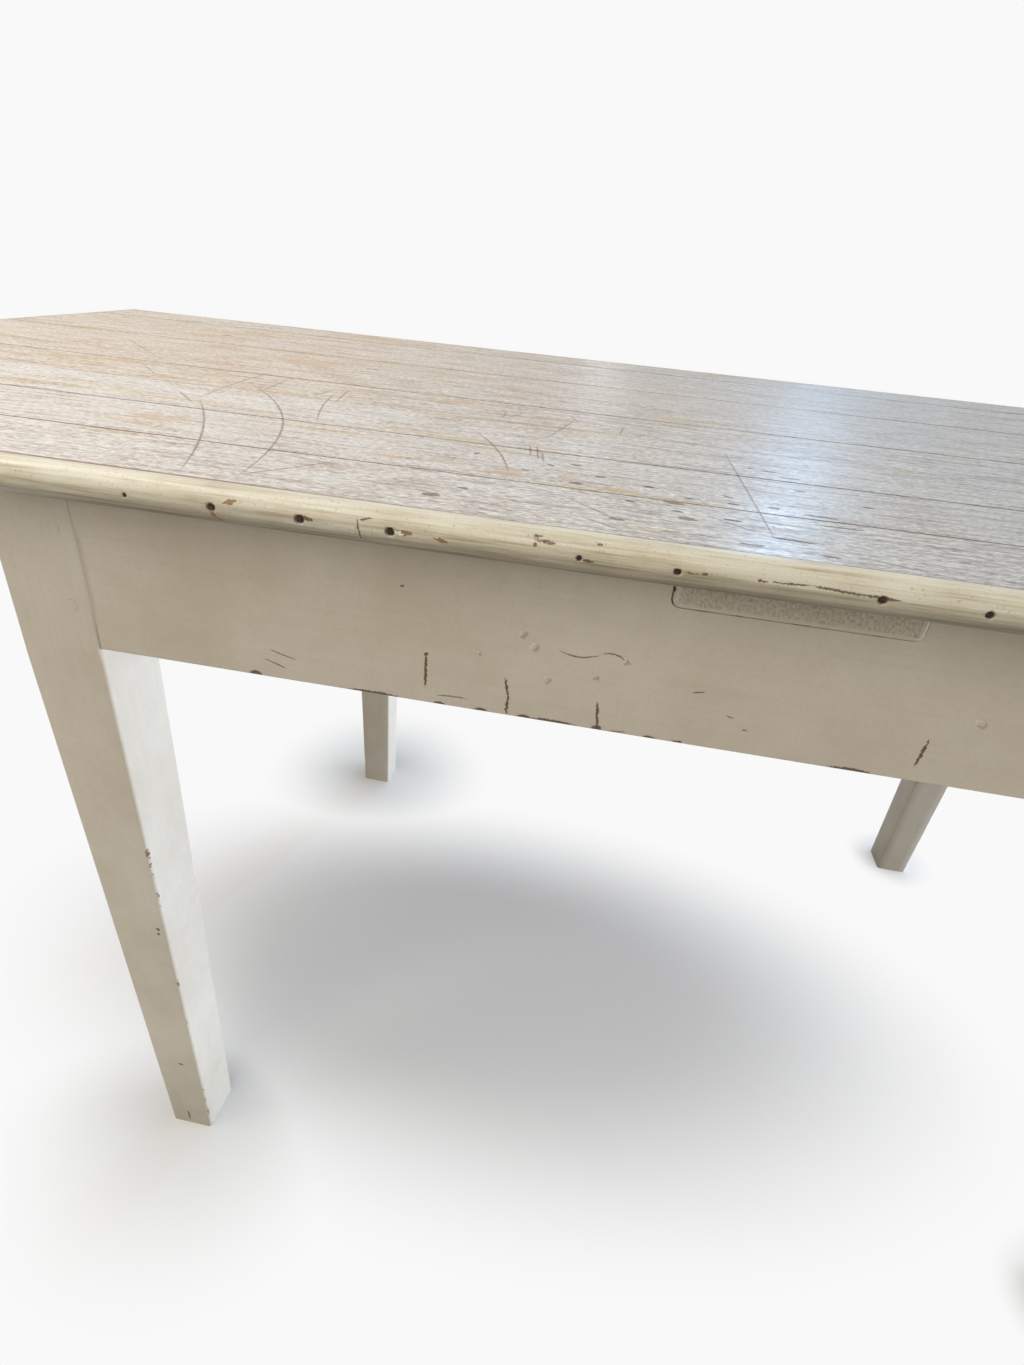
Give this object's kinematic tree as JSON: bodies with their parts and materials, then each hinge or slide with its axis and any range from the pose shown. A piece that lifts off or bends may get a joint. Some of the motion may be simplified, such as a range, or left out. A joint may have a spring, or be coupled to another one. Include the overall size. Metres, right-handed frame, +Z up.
{
  "type": "kitchen table with drawers",
  "caption": "Old painted pine kitchen table: worn plank top with nailed half-round lipping, square tapered legs and drawers in one long side.",
  "frame": {"origin": "on the floor under the middle of the top", "axes": "+X along the table, +Y towards the side with the drawers, +Z up"},
  "size_m": [1.8, 0.8, 0.77],
  "materials": {
    "limed_pine": "worn thin paint, satin",
    "cream_painted_pine": "worn cream paint, satin",
    "greige_painted_pine": "off-white paint, satin",
    "bare_pine": "planed, unfinished",
    "steel": "rusted"
  },
  "bodies": {
    "table": {"top_plank_1": "limed_pine", "top_plank_2": "limed_pine", "top_plank_3": "limed_pine", "top_plank_4": "limed_pine", "top_plank_5": "limed_pine", "top_plank_6": "limed_pine", "top_plank_7": "limed_pine", "top_plank_8": "limed_pine", "top_plank_9": "limed_pine", "lipping_front": "cream_painted_pine", "lipping_back": "cream_painted_pine", "lipping_left": "cream_painted_pine", "lipping_right": "cream_painted_pine", "lipping_nails": "steel", "batten_centre": "greige_painted_pine", "batten_left": "bare_pine", "batten_right": "bare_pine", "kicker_left": "bare_pine", "kicker_right": "bare_pine", "top_nails": "steel", "leg_front_left": "greige_painted_pine", "leg_front_right": "greige_painted_pine", "leg_back_left": "greige_painted_pine", "leg_back_right": "greige_painted_pine", "apron_front": "greige_painted_pine", "apron_left": "greige_painted_pine", "apron_right": "greige_painted_pine", "drawer_rail_bottom": "greige_painted_pine", "drawer_rail_top": "greige_painted_pine", "drawer_muntin": "greige_painted_pine", "joint_pegs": "greige_painted_pine", "drawer_runner_left": "bare_pine", "drawer_runner_right": "bare_pine", "drawer_runner_centre": "bare_pine", "drawer_guide_left": "bare_pine", "drawer_guide_right": "bare_pine", "drawer_guide_centre": "bare_pine", "drawer_stops": "bare_pine"},
    "drawer_left": {"drawer_left_front": "greige_painted_pine", "drawer_left_side_left": "bare_pine", "drawer_left_side_right": "bare_pine", "drawer_left_back": "bare_pine", "drawer_left_bottom": "bare_pine", "drawer_left_knob": "greige_painted_pine"},
    "drawer_right": {"drawer_right_front": "greige_painted_pine", "drawer_right_side_left": "bare_pine", "drawer_right_side_right": "bare_pine", "drawer_right_back": "bare_pine", "drawer_right_bottom": "bare_pine", "drawer_right_knob": "greige_painted_pine"}
  },
  "joints": [
    {"name": "drawer_left_slide", "type": "slide", "parent": "table", "child": "drawer_left", "axis": [0, 1, 0], "range_m": [0, 0.38]},
    {"name": "drawer_right_slide", "type": "slide", "parent": "table", "child": "drawer_right", "axis": [0, 1, 0], "range_m": [0, 0.38]}
  ]
}
